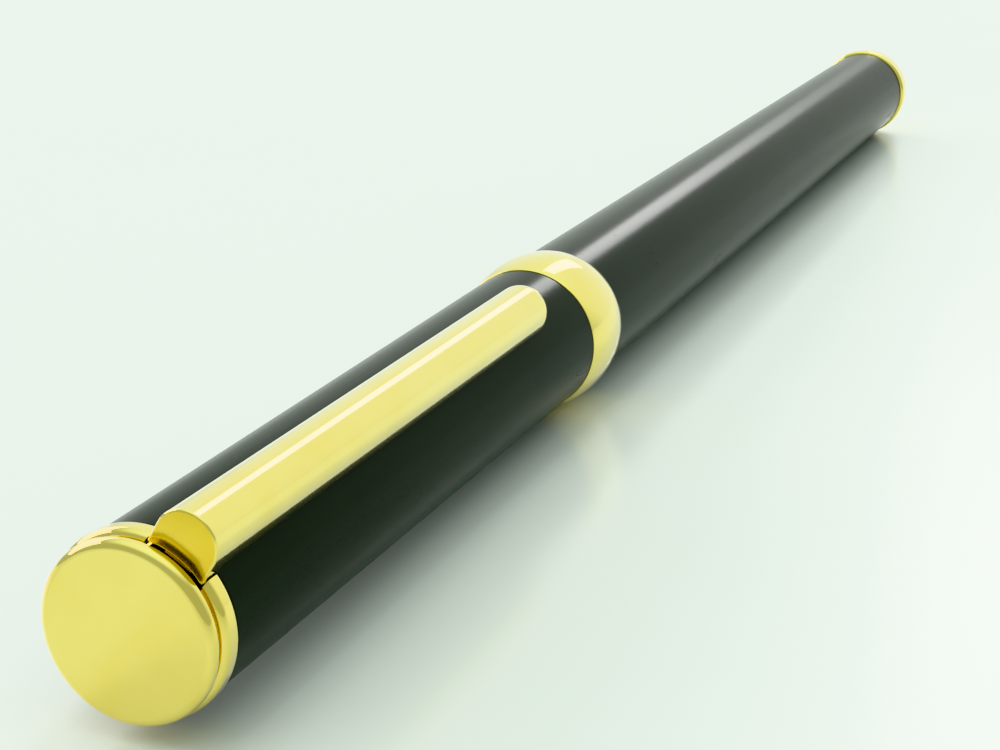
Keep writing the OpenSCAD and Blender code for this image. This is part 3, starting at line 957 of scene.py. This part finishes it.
fibre_start, fibre_end, fibre_r = span("refill_fibre")
fibre = spun("pen_refill_fibre", [
    (feed_end, 0, 0), (feed_end, feed_r, 0.02), (fibre_start, feed_r, 0.02),
    (fibre_start, fibre_r, 0.25), (fibre_end, fibre_r, 0.25), (fibre_end, 0, 0)], 96)
fit(fibre, "refill_fibre", ink)

back_start, back_end, back_r = span("refill_plug")
back = spun("pen_refill_plug", [
    (back_start, 0.3, 0.05), (back_start, back_r, 0.15), (back_end, back_r, 0.2),
    (back_end, 1.3, 0.08), (back_end - 0.35, 1.1, 0.08), (back_end - 0.35, 0.3, 0.03)], 96)
fit(back, "refill_plug", plastic)

# %% [markdown]
# ## The table
# The pen lies on a pale, slightly glossy table. It rests on the centre band and the tail ring
# and the cap's top hangs just clear, so the table leans by half a degree in the pen's frame.
# A big plane is enough, but its finish is not one flat colour: it has a faint mottle, and a
# soft gloss that carries the pen's reflection.

# %% Floor
rest_x, rest_r = (band_start + 3 + band_end) / 2, band_r
tail_x = (barrel_end + ring_end) / 2
lean = math.atan2(rest_r - ring_r, tail_x - rest_x)


def floor_finish(name):
    finish = Finish(bpy.data.materials.new(name))
    mottle = finish.noise(26, 3.0, 0.55).smooth(0.35, 0.65)
    fine = finish.noise(1500, 2.0, 0.5)
    return finish.surface(
        Base_Color=finish.mix(mottle, (0.820, 0.845, 0.820, 1), (0.832, 0.855, 0.830, 1)),
        Roughness=0.20 + mottle * 0.03,
        Specular_IOR_Level=0.5,
        Normal=finish.bump(fine, 4e-7),
    )


bm = bmesh.new()
bmesh.ops.create_grid(bm, x_segments=8, y_segments=8, size=1600)
floor = new_piece("table", bm)
floor.data.transform(Matrix.Translation((rest_x * MM, 0, -rest_r * MM)) @ Matrix.Rotation(-lean, 4, "Y"))
floor.data.materials.append(floor_finish("pale_table"))
print(f"The table leans {math.degrees(lean):.2f} degrees")

# %% [markdown]
# ## Light
# Polished gold shows whatever surrounds it, so a jewellery photographer puts it in a tent of
# pale cloth. A round bar seen along its length mirrors a ring of the room beyond its far end,
# and that part of the tent is the brightest here. One large soft light low on the left lays
# the pen's wide shadow to the right, and a long narrow one draws the highlight on the clip.

# %% Tent and soft lights
tent = Finish(bpy.data.worlds.new("tent"))
bpy.context.scene.world = tent.owner
beyond = tent.node("ShaderNodeVectorMath", {"operation": "DOT_PRODUCT"},
                   {0: tent.direction, 1: (0.87, -0.10, 0.48)})["Value"]
cloth = tent.mix(beyond.smooth(0.35, 0.95), (0.530, 0.600, 0.545, 1), (1.09, 1.18, 1.09, 1))
overhead = tent.node("ShaderNodeSeparateXYZ", {}, {"Vector": tent.direction})["Z"]
glow = tent.mix(overhead.smooth(0.6, 1.0), cloth, (1.22, 1.40, 1.28, 1))
tent.node("ShaderNodeOutputWorld", {}, {
    "Surface": tent.node("ShaderNodeBackground", {}, {"Color": glow})["Background"]})


def softbox(name, place, target, size, power, tint=(1, 1, 1)):
    """A rectangular light of the given size, facing a point, both in metres."""
    lamp = bpy.data.lights.new(name, "AREA")
    lamp.shape = "RECTANGLE"
    lamp.size, lamp.size_y = size
    lamp.energy = power
    lamp.color = tint
    holder = bpy.data.objects.new(name, lamp)
    holder.location = place
    holder.rotation_euler = (Vector(target) - Vector(place)).to_track_quat("-Z", "Y").to_euler()
    bpy.context.scene.collection.objects.link(holder)
    return holder


softbox("key_left", (0.14, 0.60, 0.30), (0.06, 0, 0), (0.8, 0.36), 3.25, (1.0, 0.955, 0.985))
softbox("strip_beyond", (0.80, 0.05, 0.52), (0.03, 0, 0), (0.17, 0.5), 2.1, (1.0, 1.0, 0.98))
print("The tent and two soft lights are up")

# %% [markdown]
# ## Camera
# The pen is seen from in front of its cap, a little above and to its right, with a short
# telephoto lens. The camera's place is given from the pen: so many cap radii away from the
# middle of the cap's top.

# %% Camera
camera_data = bpy.data.cameras.new("camera")
camera_data.sensor_width = 36
camera_data.lens = 77.33
camera_data.clip_start = 0.005
camera = bpy.data.objects.new("camera", camera_data)
camera.location = Vector((-16.178, -10.812, 9.089)) * cap_r * MM
pitch_down, heading = 18.496, 22.848
camera.rotation_euler = (math.radians(90 - pitch_down), 0, math.radians(heading - 90))
bpy.context.scene.collection.objects.link(camera)
bpy.context.scene.camera = camera
bpy.context.scene.view_settings.view_transform = "Khronos PBR Neutral"
print("The camera stands", round(camera.location.length * 1000), "mm from the cap's top")
